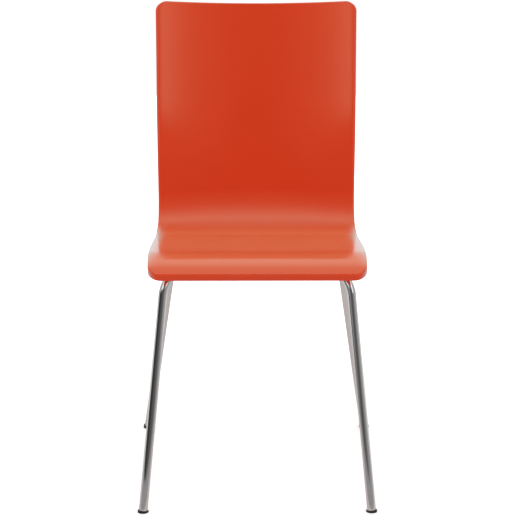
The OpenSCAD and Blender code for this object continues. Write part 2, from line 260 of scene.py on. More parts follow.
def sheet_middle(s, x):
    """Point in the middle of the sheet's thickness."""
    grown = ease((s - S_BEND) / (S_BACK - S_BEND + DISH_RISE))
    depth = BACK_DISH * grown * (2 * x / TOP_W) ** 2
    flat = profile_at(s) + depth * direction(heading_at(s) + QUARTER)
    return Vector((x, flat.x, flat.y))


def sheet_point(s, x, lift):
    """Point at a distance lift from the middle, square to the sheet."""
    across = sheet_middle(s, x + PROBE) - sheet_middle(s, x - PROBE)
    onward = sheet_middle(s + PROBE, x) - sheet_middle(s - PROBE, x)
    return sheet_middle(s, x) + lift * across.cross(onward).normalized()


forward = sheet_middle(S_TOP, 0).y - sheet_middle(S_TOP, TOP_W / 2).y
print("the top corners come forward by", round(forward / MM, 1), "mm")

# %% [markdown]
# The rest of the chair is placed from its feet, and the front edge of the sheet
# lies a known way in front of them.

# %% Front edge of the seat
FOOT_SETBACK = 12 * MM
mounts = {m["name"]: Vector(m["pos_m"]) for m in frame["record"]["mounts"]}
FRONT_FOOT = mounts["front_right_foot_face"]
REAR_FOOT = mounts["rear_right_foot_face"]
FRONT_EDGE_Y = FRONT_FOOT.y - FOOT_SETBACK
print("the front edge of the seat is at y =", round(FRONT_EDGE_Y, 4))

# %% [markdown]
# ## The net of the shell
#
# A subdivided block would be quick, but its corners would drift from the real
# ones. Instead we lay a net over the sheet: rows across it and columns along it.
# Near the front and the top the rows grow shorter with the corner radius, so that
# the net ends exactly on the outline. The edge of plywood is sanded round, and a
# few rings between the upper and the lower net make that quarter-round. All of it
# is drawn in by a hair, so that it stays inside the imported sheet.

# %% Sizes of the net
FRONT_CORNER_R = 23 * MM
TOP_CORNER_R = 19 * MM
EDGE_R = 3 * MM
TRIM = 0.1 * MM
CORNER_ROWS = 14
SEAT_ROWS = 30
BEND_ROWS = 40
BACK_ROWS = 44
COLUMNS = 56
EDGE_STEPS = 7
print("a square of the net is about", round(SEAT_W / COLUMNS / MM, 1), "mm wide")


# %% Rows of the net
def spread(start, end, count):
    """Even steps from start, which stop one step before end."""
    return [mix(start, end, i / count) for i in range(count)]


def sheet_rows():
    """Each row is its kind and its place: an angle in a corner, else s."""
    rows = [("front", a) for a in spread(0, QUARTER, CORNER_ROWS)]
    rows += [("middle", s) for s in spread(FRONT_CORNER_R, S_BEND, SEAT_ROWS)]
    rows += [("middle", s) for s in spread(S_BEND, S_BACK, BEND_ROWS)]
    rows += [("middle", s) for s in spread(S_BACK, S_TOP - TOP_CORNER_R, BACK_ROWS)]
    rows += [("top", a) for a in spread(0, QUARTER, CORNER_ROWS)] + [("top", QUARTER)]
    return rows


def row_place(row, inset):
    """s of a row and half its width, where the outline is drawn in by inset."""
    kind, place = row
    if kind == "front":
        r = FRONT_CORNER_R - inset
        s = FRONT_CORNER_R - r * math.cos(place)
        return s, half_width_at(s) - FRONT_CORNER_R + r * math.sin(place)
    if kind == "top":
        r = TOP_CORNER_R - inset
        s = S_TOP - TOP_CORNER_R + r * math.sin(place)
        return s, half_width_at(s) - TOP_CORNER_R + r * math.cos(place)
    return place, half_width_at(place) - inset


print("the net has", len(sheet_rows()), "rows and", COLUMNS, "columns")


# %% Spots of the net
def edge_places(last):
    """Places (row, column) along the edge of the net, once round it."""
    places = [(0, j) for j in range(COLUMNS)] + [(i, COLUMNS) for i in range(last)]
    places += [(last, j) for j in range(COLUMNS, 0, -1)]
    return places + [(i, 0) for i in range(last, 0, -1)]


def net_spots(last, edge):
    """Each point as (row, column, inset, lift): upper net, lower net, then the edge."""
    spots = []
    for side in (1, -1):
        for i in range(last + 1):
            spots += [(i, j, EDGE_R, side * HALF_T) for j in range(COLUMNS + 1)]
    for side, order in ((1, range(1, EDGE_STEPS + 1)), (-1, range(EDGE_STEPS, 0, -1))):
        for k in order:
            a = QUARTER * k / EDGE_STEPS
            inset = EDGE_R * (1 - math.sin(a))
            lift = side * (HALF_T - EDGE_R + EDGE_R * math.cos(a))
            spots += [(i, j, inset, lift) for i, j in edge]
    return spots


print("the edge passes", len(edge_places(len(sheet_rows()) - 1)), "points of each net")


# %% Squares of the net
def net_faces(last, edge):
    """Squares of both nets, and of the rings that lead round the edge between them."""
    wide = COLUMNS + 1
    size = (last + 1) * wide
    faces = []
    for i in range(last):
        for a in range(i * wide, i * wide + COLUMNS):
            square = (a, a + 1, a + wide + 1, a + wide)
            faces += [square, tuple(size + v for v in square[::-1])]
    count = len(edge)
    upper = [i * wide + j for i, j in edge]
    rings = [[2 * size + k * count + v for v in range(count)] for k in range(2 * EDGE_STEPS)]
    rings = [upper] + rings + [[size + v for v in upper]]
    for first, second in zip(rings, rings[1:]):
        for k in range(count):
            n = (k + 1) % count
            faces.append((first[n], first[k], second[k], second[n]))
    return faces


print("each net has", (len(sheet_rows()) - 1) * COLUMNS, "squares")

# %% [markdown]
# While the net is laid, we also note where each point sits on the flat sheet:
# across it, along it and through its thickness. A finish that follows the grain
# of the veneer can then be drawn on the flat sheet and bends with it, which a
# pattern in plain space would not do.

# %% Build the shell
def build_shell():
    rows = sheet_rows()
    last = len(rows) - 1
    edge = edge_places(last)
    points, flat_places = [], []
    for i, j, inset, lift in net_spots(last, edge):
        s, half = row_place(rows[i], inset + TRIM)
        x = half * (2 * j / COLUMNS - 1)
        spot = sheet_point(s, x, lift * (1 - TRIM / HALF_T))
        points.append(spot + Vector((0, FRONT_EDGE_Y, 0)))
        flat_places += (x, s, lift)
    shape = points, net_faces(last, edge)
    piece = new_piece("plywood_shell", shape, ["seat_shell"])
    place = piece.data.attributes.new("sheet", "FLOAT_VECTOR", "POINT")
    place.data.foreach_set("vector", flat_places)
    return piece


shell = build_shell()
low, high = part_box("seat_shell")
print("the CAD shell reaches from", [round(c, 4) for c in low], "to", [round(c, 4) for c in high])

# %% [markdown]
# ## The line of a bent tube
#
# A tube bender makes only two things: straight runs and arcs of one radius. So
# the middle line of a leg tube is a row of corners, and each corner is rounded
# by an arc that touches both runs. The corners are the foot, the elbow under the
# seat, the point where the two arms would cross, and the same on the other side.

# %% Rounded path
def rounded_path(corners, radii, steps):
    """Corners joined by straight runs, with an arc of a given radius at each."""
    path = [corners[0]]
    for before, corner, after, r in zip(corners, corners[1:], corners[2:], radii):
        a = (before - corner).normalized()
        b = (after - corner).normalized()
        half = a.angle(b) / 2
        centre = corner + (a + b).normalized() * r / math.sin(half)
        start = corner + a * r / math.tan(half)
        axis = (start - centre).cross(b)
        turn = math.pi - 2 * half
        for k in range(steps + 1):
            path.append(centre + Matrix.Rotation(turn * k / steps, 3, axis) @ (start - centre))
    return path + [corners[-1]]


corner = [Vector((1, 0, 0)), Vector((0, 0, 0)), Vector((0, 1, 0))]
print("a corner rounded in 4 steps has", len(rounded_path(corner, [0.5], 4)), "points")


# %% Rings along a path
def circle(radius, count):
    return [(radius * math.cos(a), radius * math.sin(a)) for a in spread(0, 2 * math.pi, count)]


def sweep(path, outline):
    """Rings of a closed outline of (u, v) offsets, carried along without twist."""
    rings = []
    tangent = (path[1] - path[0]).normalized()
    u = tangent.orthogonal().normalized()
    for i, spot in enumerate(path):
        ahead = path[min(i + 1, len(path) - 1)] - path[max(i - 1, 0)]
        fresh = ahead.normalized()
        u = tangent.rotation_difference(fresh) @ u
        tangent = fresh
        v = tangent.cross(u)
        rings.append([spot + u * a + v * b for a, b in outline])
    return rings


def join_rings(rings, closed=False):
    """Points and faces that lead from ring to ring; the ends are filled or joined."""
    count = len(rings[0])
    last = (len(rings) - 1) * count
    pairs = [(first, first + count) for first in range(0, last, count)]
    if closed:
        pairs.append((last, 0))
    faces = [
        (first + k, first + (k + 1) % count, second + (k + 1) % count, second + k)
        for first, second in pairs
        for k in range(count)
    ]
    if not closed:
        faces += [tuple(range(count))[::-1], tuple(range(last, last + count))]
    return [p for ring in rings for p in ring], faces


print("two rings of 8 points make", len(join_rings([circle(1, 8)] * 2)[1]), "faces")

# %% [markdown]
# ## The places of the elbows
#
# The two tubes are welded to a plate under the seat, and the plate lies square
# to the seat's lower face. It is simplest to work in that tilted frame: x stays
# as it is, y runs back along the seat, and z is square to it. The arm of a tube
# is the tangent from its elbow to the middle bend, which gives its angle.

# %% Sizes of the leg frame
TUBE_D = 16 * MM
TUBE_WALL = 1.5 * MM
ELBOW_R = 50 * MM
APEX_R = 40 * MM
FRAME_SETBACK = 198 * MM
GASKET_T = 2 * MM
PLATE_T = 4 * MM
FOOT_D = 20 * MM
FOOT_LIP = 2 * MM
FRONT_ELBOW = Vector((328 * MM / 2, -135 * MM))
REAR_ELBOW = Vector((321 * MM / 2, 121 * MM))

PLATE_BOTTOM = -GASKET_T - PLATE_T
ARM_Z = PLATE_BOTTOM - TUBE_D / 2
print("the arms lie", round(-ARM_Z / MM, 1), "mm below the seat's lower face")

# %% The seat's tilted frame
SEAT_UP = direction(QUARTER - SEAT_TILT)
SEAT_RUN = (FRAME_SETBACK - SEAT_START.x) / math.cos(SEAT_TILT)
FRAME_ON_SHELL = SEAT_START + SEAT_RUN * direction(-SEAT_TILT) - HALF_T * SEAT_UP
SEAT_FRAME = Matrix.Translation(
    (0, FRAME_ON_SHELL.x + FRONT_EDGE_Y, FRAME_ON_SHELL.y)
) @ Matrix.Rotation(-SEAT_TILT, 4, "X")


def under_seat(x, y, z=ARM_Z):
    return SEAT_FRAME @ Vector((x, y, z))


def arm_meet(elbow):
    """Where the two arms of a tube would cross, without their middle bend."""
    reach = abs(elbow.y) - TUBE_D / 2 - APEX_R
    angle = math.atan2(reach, elbow.x) + math.asin(APEX_R / math.hypot(elbow.x, reach))
    return elbow.y - math.copysign(elbow.x * math.tan(angle), elbow.y)


def leg_axis(foot, elbow):
    """Unit vector up a right-hand leg, from its foot to its elbow."""
    return (under_seat(elbow.x, elbow.y) - foot).normalized()


def foot_height(axis):
    """How far up its axis a foot reaches: a leaning one is higher in the middle."""
    return FOOT_LIP + FOOT_D / 2 * math.tan(math.acos(axis.z))


for end, foot, elbow in (("front", FRONT_FOOT, FRONT_ELBOW), ("rear", REAR_FOOT, REAR_ELBOW)):
    lean = math.degrees(math.acos(leg_axis(foot, elbow).z))
    print("the", end, "legs lean by", round(lean, 1), "degrees")

# %% [markdown]
# ## The two chromed tubes
#
# Each tube makes a pair of legs. We sweep a circle along the rounded path, once
# for the outside and once, going back, for the bore, and join the two at the
# ends, so that the wall has its real thickness. Chrome shows every facet, so the
# circle has many sides and the bends many steps. The cut ends are kept sharp: if
# they were shaded smooth, the tilt of their normals would spread along the whole
# leg, and the leg would mirror the wrong part of the room.

# %% Build the leg tubes
TUBE_SIDES = 56
BEND_STEPS = 28
TUBE_SHARP = 42


def on_side(p, side):
    """A place of the right-hand side, taken to the right (1) or to the left (-1)."""
    return Vector((side * p.x, p.y, p.z))


def build_tube(name, foot, elbow, cad_node):
    knee = under_seat(elbow.x, elbow.y)
    axis = leg_axis(foot, elbow)
    end = foot + axis * foot_height(axis)
    meet = under_seat(0, arm_meet(elbow))
    corners = [on_side(end, -1), on_side(knee, -1), meet, knee, end]
    path = rounded_path(corners, [ELBOW_R, APEX_R, ELBOW_R], BEND_STEPS)
    outer = sweep(path, circle(TUBE_D / 2, TUBE_SIDES))
    bore = sweep(path, circle(TUBE_D / 2 - TUBE_WALL, TUBE_SIDES))
    shape = join_rings(outer + bore[::-1], closed=True)
    return new_piece(name, shape, [cad_node], TUBE_SHARP)


front_tube = build_tube("front_tube", FRONT_FOOT, FRONT_ELBOW, "front_leg_tube")
rear_tube = build_tube("rear_tube", REAR_FOOT, REAR_ELBOW, "rear_leg_tube")

# %% [markdown]
# ## Plate and gasket
#
# A steel plate spreads the load over the plywood, and a thin fibre gasket keeps
# metal off the lacquer. Both are cut from sheet with four holes. A flat curve
# with holes is the quickest way to such a part: Blender fills it, gives it a
# thickness and rounds its edges, even inside the holes.

# %% Sizes of plate and gasket
PLATE_W = 140 * MM
PLATE_D = 124 * MM
PLATE_CORNER_R = 12 * MM
PLATE_EDGE = 0.6 * MM
GASKET_EDGE = 0.2 * MM
BOLT_SPAN_X = 108 * MM
BOLT_SPAN_Y = 92 * MM
BOLT_D = 6 * MM
BOLT_GAP = 0.25 * MM
BOLT_PLACES = [(side * BOLT_SPAN_X / 2, 0) for side in (1, -1)]
BOLT_PLACES += [(0, side * BOLT_SPAN_Y / 2) for side in (1, -1)]
HOLE_R = BOLT_D / 2 + BOLT_GAP
print("the plate's", len(BOLT_PLACES), "holes are", round(2 * HOLE_R / MM, 1), "mm wide")

# %% Outlines
CORNER_STEPS = 12
HOLE_SIDES = 40


def plate_outline():
    outline = []
    for quadrant, (sx, sy) in enumerate(((1, 1), (-1, 1), (-1, -1), (1, -1))):
        for k in range(CORNER_STEPS + 1):
            a = QUARTER * (quadrant + k / CORNER_STEPS)
            x = sx * (PLATE_W / 2 - PLATE_CORNER_R) + PLATE_CORNER_R * math.cos(a)
            y = sy * (PLATE_D / 2 - PLATE_CORNER_R) + PLATE_CORNER_R * math.sin(a)
            outline.append((x, y))
    return outline


def hole_outline(bx, by):
    return [(bx + x, by + y) for x, y in circle(HOLE_R, HOLE_SIDES)]


print("the plate's outline has", len(plate_outline()), "points")

# %% Build plate and gasket
FLAT_SHARP = 40


def build_flat(name, thickness, bottom, edge, cad_node):
    """Plate with the four bolt holes, drawn in the seat's tilted frame."""
    curve = bpy.data.curves.new(name, "CURVE")
    curve.dimensions = "2D"
    curve.fill_mode = "BOTH"
    curve.extrude = thickness / 2 - edge
    curve.bevel_depth = edge
    curve.bevel_resolution = 3
    curve.offset = -edge
    for outline in [plate_outline()] + [hole_outline(bx, by) for bx, by in BOLT_PLACES]:
        loop = curve.splines.new("POLY")
        loop.points.add(len(outline) - 1)
        loop.points.foreach_set("co", [c for x, y in outline for c in (x, y, 0, 1)])
        loop.use_cyclic_u = True
    shape = bpy.data.objects.new(name + "_curve", curve)
    mesh = bpy.data.meshes.new_from_object(shape)
    bpy.data.objects.remove(shape)
    mesh.name = name
    mesh.transform(SEAT_FRAME @ Matrix.Translation((0, 0, bottom + thickness / 2)))
    return place_piece(name, mesh, [cad_node], FLAT_SHARP)


plate = build_flat(
    "steel_plate", PLATE_T, PLATE_BOTTOM, PLATE_EDGE, "mounting_plate"
)
gasket = build_flat(
    "fibre_gasket", GASKET_T, -GASKET_T, GASKET_EDGE, "plate_gasket"
)

# %% [markdown]
# ## Turned parts
#
# Bolts and washers are round about an axis. We describe each as rings, from a
# radius and a height, and stack them. A ring need not stay round: the socket in a
# bolt head is a ring whose radius follows a hexagon.

# %% Rings of a turned part
RING_SIDES = 48
RING_ANGLES = spread(0, 2 * math.pi, RING_SIDES)


def hexagon(across_flats):
    """Radii of a hexagon, one for each side of a ring."""
    sixth = math.pi / 3
    return [across_flats / 2 / math.cos(a % sixth - sixth / 2) for a in RING_ANGLES]


def turned(rings, matrix, closed):
    """Points and faces of rings given as (radius or radii, height)."""
    made = []
    for radii, height in rings:
        row = radii if isinstance(radii, list) else [radii] * RING_SIDES
        flat = [(r * math.cos(a), r * math.sin(a)) for r, a in zip(row, RING_ANGLES)]
        made.append([matrix @ Vector((x, y, height)) for x, y in flat])
    return join_rings(made, closed)


def as_one(parts):
    """Puts parts, each given as points and faces, together."""
    points, faces = [], []
    for more_points, more_faces in parts:
        faces += [tuple(len(points) + v for v in f) for f in more_faces]
        points += more_points
    return points, faces


print("a hexagon 4 wide reaches", round(max(hexagon(4)), 2), "from its middle")

# %% Sizes of bolt and washer
HEAD_D = 11 * MM
HEAD_H = 3.3 * MM
HEAD_FLAT = 0.58
DOME_SHARE = 0.72
DOME_STEPS = 10
RIM_EDGE = 0.15 * MM
SOCKET_AF = 4 * MM
SOCKET_DEPTH = 2 * MM
SOCKET_EDGE = 0.2 * MM
INSERT_LEN = 9 * MM
TIP_ROOM = 1 * MM
TIP_EDGE = 0.6 * MM
WASHER_D = 14 * MM
WASHER_T = 1.2 * MM
WASHER_EDGE = 0.2 * MM
BOLT_LEN = WASHER_T + PLATE_T + GASKET_T + INSERT_LEN - TIP_ROOM
print("a bolt is", round(BOLT_LEN / MM, 1), "mm long under its head")


# %% Rings of bolt and washer
def bolt_rings():
    """From the bottom of the socket, round the head and up to the tip."""
    top = -HEAD_H
    socket = hexagon(SOCKET_AF)
    mouth = hexagon(SOCKET_AF + 2 * SOCKET_EDGE)
    rings = [(socket, top + SOCKET_DEPTH), (socket, top + SOCKET_EDGE), (mouth, top)]
    rim = HEAD_D / 2
    for k in range(DOME_STEPS + 1):
        a = QUARTER * k / DOME_STEPS
        r = rim * mix(HEAD_FLAT, 1, math.sin(a))
        rings.append((r, top + DOME_SHARE * HEAD_H * (1 - math.cos(a))))
    shank = BOLT_D / 2
    rings += [(rim, -RIM_EDGE), (rim - RIM_EDGE, 0), (shank, 0)]
    return rings + [(shank, BOLT_LEN - TIP_EDGE), (shank - TIP_EDGE, BOLT_LEN)]


def washer_rings():
    """Round the washer's section, from its hole to its rim and back."""
    rim = WASHER_D / 2
    e = WASHER_EDGE
    lower = [(HOLE_R, e), (HOLE_R + e, 0), (rim - e, 0), (rim, e)]
    return lower + [(r, WASHER_T - height) for r, height in lower[::-1]]


print("a bolt is described by", len(bolt_rings()), "rings, a washer by", len(washer_rings()))

# %% Build bolts and washers
TURNED_SHARP = 35


def at_bolts(rings, closed=False):
    """One copy of the rings on each bolt's axis, from the washer's lower face."""
    height = PLATE_BOTTOM - WASHER_T
    places = [SEAT_FRAME @ Matrix.Translation((bx, by, height)) for bx, by in BOLT_PLACES]
    return as_one([turned(rings, place, closed) for place in places])


bolts = new_piece(
    "button_head_bolts", at_bolts(bolt_rings()), ["shell_bolts"], TURNED_SHARP
)
washers = new_piece(
    "steel_washers", at_bolts(washer_rings(), True), ["washers"], TURNED_SHARP
)

# %% [markdown]
# ## Weld beads
#
# A weld laid by hand looks like a row of overlapping coins. Its radius swells and
# shrinks once for each coin, and it thins out at both ends. We sweep a ring along
# each groove between arm and plate and let the radius follow that rhythm.

# %% Shape of a bead
WELD_LEN = 30 * MM
WELD_R = 1.5 * MM
COIN_LEN = 1.6 * MM
COIN_WAIST = 0.84
BEAD_TIP = 0.12
BEAD_STEP = 0.2 * MM
BEAD_SIDES = 14


def bead_radius(distance):
    """Thin at both ends, and swelling a little with each coin."""
    coin = abs(math.sin(math.pi * distance / COIN_LEN))
    from_end = min(1.0, min(distance, WELD_LEN - distance) / (2 * WELD_R))
    taper = math.sqrt(max(0.0, 1 - (1 - from_end) ** 2))
    return WELD_R * mix(BEAD_TIP, 1, taper) * mix(COIN_WAIST, 1, coin)


def bead(start, along):
    side = Vector((-along.y, along.x, 0))
    up = Vector((0, 0, 1))
    rings = []
    for i in range(round(WELD_LEN / BEAD_STEP) + 1):
        spot = start + along * i * BEAD_STEP
        outline = circle(bead_radius(i * BEAD_STEP), BEAD_SIDES)
        rings.append([SEAT_FRAME @ (spot + side * u + up * v) for u, v in outline])
    return join_rings(rings)


print("a bead is", round(2 * bead_radius(WELD_LEN / 2) / MM, 2), "mm wide in its middle")


# %% Build the weld beads
def all_beads():
    """Two beads on each of the four arms, one in each groove against the plate."""
    groove = 2 * math.sqrt(WELD_R * TUBE_D / 2)
    beads = []
    for elbow in (FRONT_ELBOW, REAR_ELBOW):
        meet = Vector((0, arm_meet(elbow)))
        for side in (-1, 1):
            arm = (Vector((side * elbow.x, elbow.y)) - meet).normalized()
            slope = math.atan2(abs(arm.y), abs(arm.x))
            first = meet + arm * APEX_R * math.tan(slope)
            for edge in (-1, 1):
                at = first + edge * groove * Vector((-arm.y, arm.x))
                start = Vector((at.x, at.y, PLATE_BOTTOM - WELD_R))
                beads.append(bead(start, Vector((arm.x, arm.y, 0))))
    return beads


welds = new_piece("weld_beads", as_one(all_beads()), ["frame_welds"])

# %% [markdown]
# ## Seat pads
#
# A moulded saddle sits on each arm, close to the elbow. It carries the edge of
# the shell, and in a stack the next chair rests against it. Its section is a
# block with a round groove for the tube. We extrude that section along the arm
# and let a bevel modifier round every edge, as a mould would. Pads and feet both
# come in fours, so the four corners of the chair are listed once for both.

# %% Section of a pad
PAD_LEN = 36 * MM
PAD_W = 21 * MM
PAD_INSET = 64 * MM
PAD_GAP = 0.05 * MM
PAD_EDGE = 0.9 * MM
PAD_SHARP = 50
GROOVE_STEPS = 24


def pad_section():
    """Closed outline of (across, up), from one lower corner over the top."""
    r = TUBE_D / 2 + PAD_GAP
    top = -ARM_Z
    half = PAD_W / 2
    groove = [(r * math.cos(a), r * math.sin(a)) for a in spread(0, math.pi, GROOVE_STEPS)]
    return groove + [(-r, 0), (-half, 0), (-half, top), (half, top), (half, 0)]


print("a pad's section has", len(pad_section()), "points")

# %% Build the seat pads
CORNERS = [
    (f"{end}_{hand}", foot, elbow, side)
    for end, foot, elbow in (("front", FRONT_FOOT, FRONT_ELBOW), ("rear", REAR_FOOT, REAR_ELBOW))
    for hand, side in (("left", -1), ("right", 1))
]


def build_pad(name, elbow, side):
    corner = Vector((side * elbow.x, elbow.y))
    arm = (Vector((0, arm_meet(elbow))) - corner).normalized()
    across = Vector((-arm.y, arm.x))
    rings = []
    for along in (PAD_INSET - PAD_LEN / 2, PAD_INSET + PAD_LEN / 2):
        places = [(corner + arm * along + across * u, v) for u, v in pad_section()]
        rings.append([under_seat(flat.x, flat.y, ARM_Z + v) for flat, v in places])
    piece = new_piece(name + "_saddle", join_rings(rings), [name], PAD_SHARP)
    bevel = piece.modifiers.new("moulded edges", "BEVEL")
    bevel.width = PAD_EDGE
    bevel.segments = 3
    bevel.angle_limit = math.radians(PAD_SHARP)
    return piece


pads = [build_pad(name + "_pad", elbow, side) for name, foot, elbow, side in CORNERS]

# %% [markdown]
# ## Feet
#
# A foot is a plastic cap with a stem that grips the bore of the tube. The leg
# leans, but the foot stands flat on the floor, so its lowest ring lies in the
# floor while its top ring is square to the leg. The more a leg leans, the taller
# its cap must be in the middle, or nothing would be left of it on the low side.
# Between the rings a shallow groove shows where the cap would be levered off.
# Each ring has its distance from the leg's axis and its share of the way up, and
# the rings of the stem go on beyond the cap's top.

# %% Rings of a foot
SOLE_EDGE = 0.8 * MM
SOLE_SHARE = 0.14
SOLE_RINGS = (0.2, 0.8)
NOTCH_DEPTH = 0.35 * MM
NOTCH_SHARES = (0.4, 0.44, 0.5, 0.54)
TOP_EDGE = 1.2 * MM
TOP_SHARE = 0.8
CAP_STEPS = 5
STEM_LEN = 24 * MM
STEM_GAP = 0.1 * MM
STEM_EDGE = 1 * MM


def foot_rings():
    """Each ring as (radius, share of the cap's height, way beyond the cap)."""
    r = FOOT_D / 2
    angles = spread(0, QUARTER, CAP_STEPS) + [QUARTER]
    rings = [(r * flat, 0, 0) for flat in SOLE_RINGS]
    for a in angles:
        rings.append((r - SOLE_EDGE * (1 - math.sin(a)), SOLE_SHARE * (1 - math.cos(a)), 0))
    for depth, share in zip((0, NOTCH_DEPTH, NOTCH_DEPTH, 0), NOTCH_SHARES):
        rings.append((r - depth, share, 0))
    for a in angles:
        rings.append((r - TOP_EDGE * (1 - math.cos(a)), mix(TOP_SHARE, 1, math.sin(a)), 0))
    stem = TUBE_D / 2 - TUBE_WALL - STEM_GAP
    rings += [(stem, 1, 0), (stem, 1, STEM_LEN - STEM_EDGE), (stem - STEM_EDGE, 1, STEM_LEN)]
    return rings


print("a foot is described by", len(foot_rings()), "rings")

# %% Build the feet
FOOT_SIDES = 56
FOOT_SHARP = 42


def build_foot(name, foot, axis):
    u = axis.cross(Vector((0, 1, 0))).normalized()
    v = axis.cross(u)
    rings = []
    for radius, share, beyond in foot_rings():
        offsets = [u * a + v * b for a, b in circle(radius, FOOT_SIDES)]
        heights = [mix(-o.z / axis.z, foot_height(axis), share) + beyond for o in offsets]
        rings.append([foot + o + axis * height for o, height in zip(offsets, heights)])
    return new_piece(name + "_cap", join_rings(rings), [name], FOOT_SHARP)


feet = [
    build_foot(name + "_foot", on_side(foot, side), on_side(leg_axis(foot, elbow), side))
    for name, foot, elbow, side in CORNERS
]

# %% [markdown]
# ## Helpers for materials
#
# Node trees grow long when every socket is set by hand. One function adds a node,
# links or sets its inputs by name and returns it. Another makes a node group with
# named sockets, so that an effect is built once and used by several materials.

# %% Node helpers
def set_inputs(tree, node, inputs):
    """Links a socket, or sets a plain value, for each input given."""
    for key, value in inputs.items():
        if isinstance(value, bpy.types.NodeSocket):
            tree.links.new(value, node.inputs[key])
        else:
            node.inputs[key].default_value = value


def add_node(tree, kind, inputs=None, **settings):
    made = tree.nodes.new("ShaderNode" + kind)
    for key, value in settings.items():
        setattr(made, key, value)
    set_inputs(tree, made, inputs or {})
    return made


def math_node(tree, operation, *values):
    return add_node(tree, "Math", dict(enumerate(values)), operation=operation).outputs[0]


# %% Groups and materials
def new_group(name, inputs, outputs):
    """Empty group; sockets are given as name: type."""
    group = bpy.data.node_groups.new(name, "ShaderNodeTree")
    for in_out, sockets in (("INPUT", inputs), ("OUTPUT", outputs)):
        for socket_name, kind in sockets.items():
            group.interface.new_socket(
                name=socket_name, in_out=in_out, socket_type="NodeSocket" + kind
            )
    enter = group.nodes.new("NodeGroupInput").outputs
    leave = group.nodes.new("NodeGroupOutput").inputs
    print("made the group", name)
    return group, enter, leave


def use_group(tree, group, inputs):
    return add_node(tree, "Group", inputs, node_tree=group).outputs


def new_material(name):
    """Material with only a Principled BSDF, returned with its tree."""
    material = bpy.data.materials.new(name)
    material.use_nodes = True
    tree = material.node_tree
    return material, tree, tree.nodes["Principled BSDF"]


def dress(material, *pieces):
    for piece in pieces:
        piece.data.materials.clear()
        piece.data.materials.append(material)
    print(material.name, "on", ", ".join(p.name for p in pieces))


# %% [markdown]
# ## Effects shared by several finishes
#
# No real surface has exactly one colour or one gloss. *Colour drift* lets a
# colour grow slowly lighter and darker. *Fine wear* gives a roughness that varies
# with smudges, and a height with hair-fine rub marks. *Floor scuffs* is a mask
# that is strongest near the floor, where shoes and brooms touch a chair. Each is
# a node group, and beside it stands the function that places it in a material
# with that material's own values.

# %% Colour drift
NOISE_MIDDLE = 0.5


def noise(tree, place, scale, detail, distortion=0.0):
    inputs = {"Vector": place, "Scale": scale, "Detail": detail, "Distortion": distortion}
    return add_node(tree, "TexNoise", inputs).outputs["Fac"]


def wander(tree, clouds, amount, base):
    """A value that swings about its base by an amount, as the noise does."""
    centred = math_node(tree, "SUBTRACT", clouds, NOISE_MIDDLE)
    return math_node(tree, "MULTIPLY_ADD", centred, amount, base)


def build_colour_drift():
    group, enter, leave = new_group(
        "Colour drift",
        {"Vector": "Vector", "Color": "Color", "Scale": "Float", "Amount": "Float"},
        {"Color": "Color"},
    )
    clouds = noise(group, enter["Vector"], enter["Scale"], detail=3.0)
    value = wander(group, clouds, enter["Amount"], 1.0)
    tinted = add_node(group, "HueSaturation", {"Value": value, "Color": enter["Color"]})
    group.links.new(tinted.outputs["Color"], leave["Color"])
    return group


colour_drift = build_colour_drift()


def drifting(tree, place, colour, scale, amount):
    inputs = {"Vector": place, "Color": colour, "Scale": scale, "Amount": amount}
    return use_group(tree, colour_drift, inputs)["Color"]


# %% Fine wear
HAIR_TURN = math.radians(37)
HAIR_STRETCH = (60.0, 900.0, 900.0)
HAIR_RANGE = (0.62, 0.72)


def stretched(tree, vector, factors):
    made = add_node(tree, "VectorMath", {0: vector, 1: factors}, operation="MULTIPLY")
    return made.outputs["Vector"]


def fade(tree, value, start, end, low=0.0, high=1.0, kind="SMOOTHSTEP"):
    """Goes from low, where the value is at start, to high, where it is at end."""
    inputs = {
        "Value": value, "From Min": start, "From Max": end, "To Min": low, "To Max": high
    }
    return add_node(tree, "MapRange", inputs, interpolation_type=kind).outputs["Result"]


def build_fine_wear():
    group, enter, leave = new_group(
        "Fine wear",
        {"Vector": "Vector", "Roughness": "Float", "Spread": "Float", "Scale": "Float"},
        {"Roughness": "Float", "Height": "Float"},
    )
    smudges = noise(group, enter["Vector"], enter["Scale"], detail=4.0)
    varied = wander(group, smudges, enter["Spread"], enter["Roughness"])
    group.links.new(varied, leave["Roughness"])
    askew = {"Vector": enter["Vector"], "Angle": HAIR_TURN}
    askew = add_node(group, "VectorRotate", askew, rotation_type="Y_AXIS").outputs["Vector"]
    hairs = noise(group, stretched(group, askew, HAIR_STRETCH), scale=1.0, detail=2.0)
    group.links.new(fade(group, hairs, *HAIR_RANGE, kind="LINEAR"), leave["Height"])
    return group


fine_wear = build_fine_wear()


def worn(tree, place, roughness, swing, scale):
    """Roughness and Height of a worn surface; swing is how far the gloss varies."""
    inputs = {"Vector": place, "Roughness": roughness, "Spread": swing, "Scale": scale}
    return use_group(tree, fine_wear, inputs)


# %% Floor scuffs
SCUFF_HEIGHT = 45 * MM
SCUFF_RANGE = (0.42, 0.68)


def axes(tree, vector):
    return add_node(tree, "SeparateXYZ", {"Vector": vector}).outputs


def product(tree, value, *factors):
    for factor in factors:
        value = math_node(tree, "MULTIPLY", value, factor)
    return value


def build_floor_scuffs():
    group, enter, leave = new_group(
        "Floor scuffs", {"Vector": "Vector", "Amount": "Float"}, {"Mask": "Float"}
    )
    near = fade(group, axes(group, enter["Vector"])["Z"], SCUFF_HEIGHT, 0.0)
    patches = noise(group, enter["Vector"], scale=90.0, detail=5.0)
    broken = fade(group, patches, *SCUFF_RANGE, kind="LINEAR")
    group.links.new(product(group, near, broken, enter["Amount"]), leave["Mask"])
    return group


floor_scuffs = build_floor_scuffs()


def scuffed(tree, place, amount):
    return use_group(tree, floor_scuffs, {"Vector": place, "Amount": amount})["Mask"]


